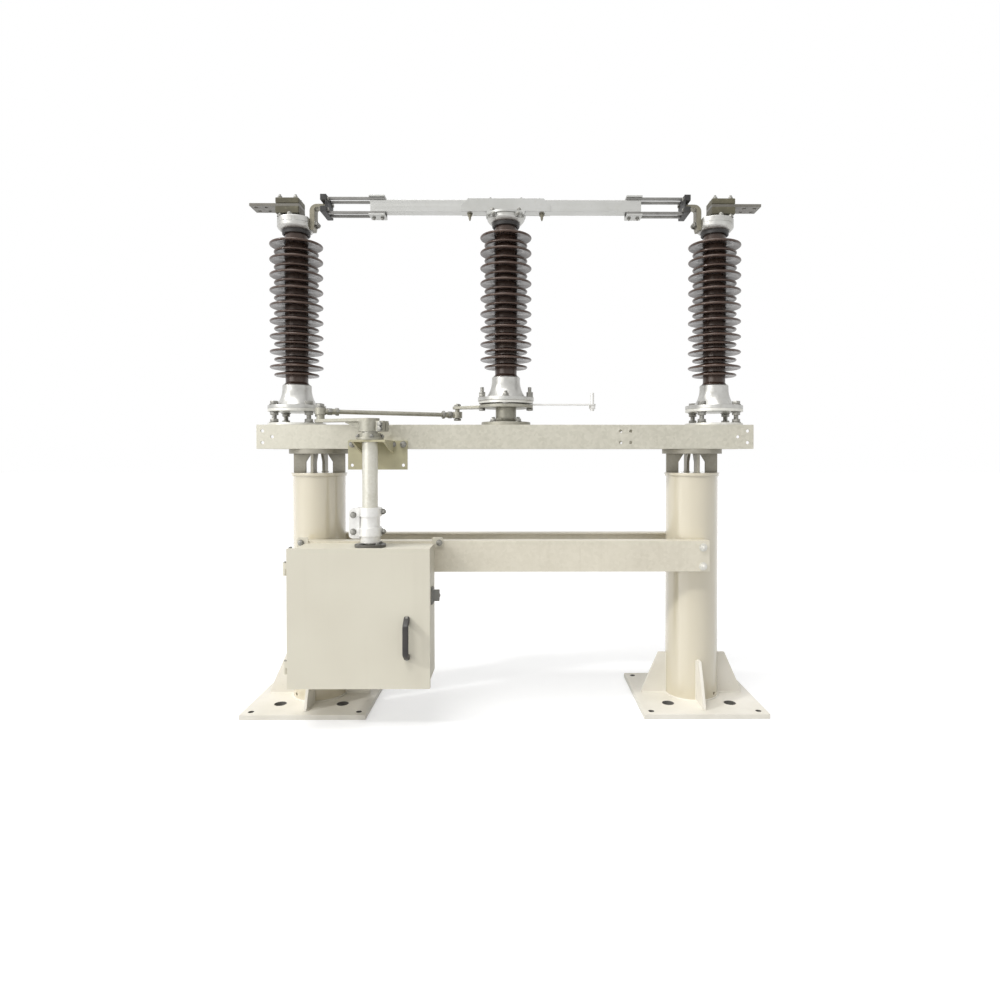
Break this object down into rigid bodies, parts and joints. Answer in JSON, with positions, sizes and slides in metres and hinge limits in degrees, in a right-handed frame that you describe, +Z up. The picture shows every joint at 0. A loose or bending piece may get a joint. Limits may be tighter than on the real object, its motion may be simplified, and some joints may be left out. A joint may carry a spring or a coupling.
{
  "type": "horizontal rotary disconnect switch",
  "caption": "Outdoor three-post disconnector on a steel support: a double-break blade turns on the middle insulator, driven by a crank, tie rod and drive pipe from a mechanism box.",
  "frame": {"origin": "on the ground plane, midway between the two columns, at the centre of the anchor hole pattern", "axes": "+X along the blade and the beam, to the right seen from the mechanism box's door; +Y to the rear; +Z up"},
  "size_m": [2.16, 0.6718, 2.1453],
  "materials": {
    "arm_galvanised": "bright galvanised flat bar",
    "beam_galvanised": "hot-dip galvanised, matt",
    "blade_alloy": "extruded tube, satin",
    "box_paint": "cream powder coat",
    "bracket_paint": "olive grey, dull",
    "column_paint": "cream paint, slightly weathered",
    "contact_copper": "silver-plated copper, tarnished",
    "finger_metal": "dark finger bars, satin",
    "fitting_iron": "galvanised casting",
    "foot_paint": "off-white paint, dusty",
    "gearbox_paint": "grey machine paint",
    "glaze_brown": "glossy dark brown glaze",
    "handle_black": "black moulded grip",
    "head_alloy": "sand casting, dull olive grey",
    "jaw_metal": "blackened, matt",
    "latch_grey": "dark grey paint",
    "link_galvanised": "galvanised, dull",
    "pipe_galvanised": "galvanised pipe",
    "rib_galvanised": "hot-dip galvanised, dull",
    "ring_steel": "dark paint",
    "sleeve_alloy": "bent sheet, satin",
    "stud_steel": "galvanised thread, dull",
    "terminal_alloy": "plain bar, satin"
  },
  "bodies": {
    "frame": {"base_plates": "foot_paint", "base_gussets": "foot_paint", "columns": "column_paint", "column_caps": "column_paint", "head_ribs": "rib_galvanised", "head_flanges": "beam_galvanised", "beam_channels": "beam_galvanised", "cross_channels": "beam_galvanised", "seat_plates": "beam_galvanised", "levelling_studs": "stud_steel", "levelling_plates": "beam_galvanised", "outer_post_bases": "fitting_iron", "outer_porcelains": "glaze_brown", "outer_post_caps": "fitting_iron", "terminal_heads": "head_alloy", "terminal_bars": "terminal_alloy", "terminal_clamps": "head_alloy", "contact_tongues": "contact_copper", "bearing_pedestal": "fitting_iron", "drive_bracket": "bracket_paint", "drive_bearing": "link_galvanised", "box_shell": "box_paint", "roof_ring": "ring_steel", "gearbox": "gearbox_paint", "side_latch": "latch_grey"},
    "rotor": {"turntable": "link_galvanised", "rotor_flange": "fitting_iron", "turntable_bolts": "stud_steel", "coupling_arm": "arm_galvanised", "centre_post_base": "fitting_iron", "centre_porcelain": "glaze_brown", "centre_post_cap": "fitting_iron", "blade_bracket": "sleeve_alloy", "blade_tube": "blade_alloy", "blade_sleeve": "sleeve_alloy", "contact_fingers": "finger_metal", "finger_clamps": "sleeve_alloy", "contact_jaws": "jaw_metal"},
    "drive_shaft": {"drive_pipe": "pipe_galvanised", "crank": "link_galvanised", "shaft_coupling": "pipe_galvanised", "output_shaft": "stud_steel"},
    "tie_rod": {"tie_rod": "link_galvanised"},
    "door": {"box_door": "box_paint", "door_handle": "handle_black"}
  },
  "joints": [
    {"name": "blade_turn", "type": "hinge", "parent": "frame", "child": "rotor", "pos_m": [0, 0, 1.25], "axis": [0, 0, -1], "range_deg": [0, 90]},
    {"name": "drive_turn", "type": "hinge", "parent": "frame", "child": "drive_shaft", "pos_m": [-0.525, -0.272, 1.18], "axis": [0, 0, -1], "range_deg": [0, 90]},
    {"name": "tie_rod_swing", "type": "hinge", "parent": "drive_shaft", "child": "tie_rod", "pos_m": [-0.74, -0.192, 1.22], "axis": [0, 0, -1], "range_deg": [-90, 0]},
    {"name": "door_swing", "type": "hinge", "parent": "frame", "child": "door", "pos_m": [-0.825, -0.3668, 0.43], "axis": [0, 0, -1], "range_deg": [0, 110]}
  ],
  "couplings": [
    {"joint": "drive_turn", "follows": "blade_turn", "ratio": 1},
    {"joint": "tie_rod_swing", "follows": "blade_turn", "ratio": -1}
  ]
}
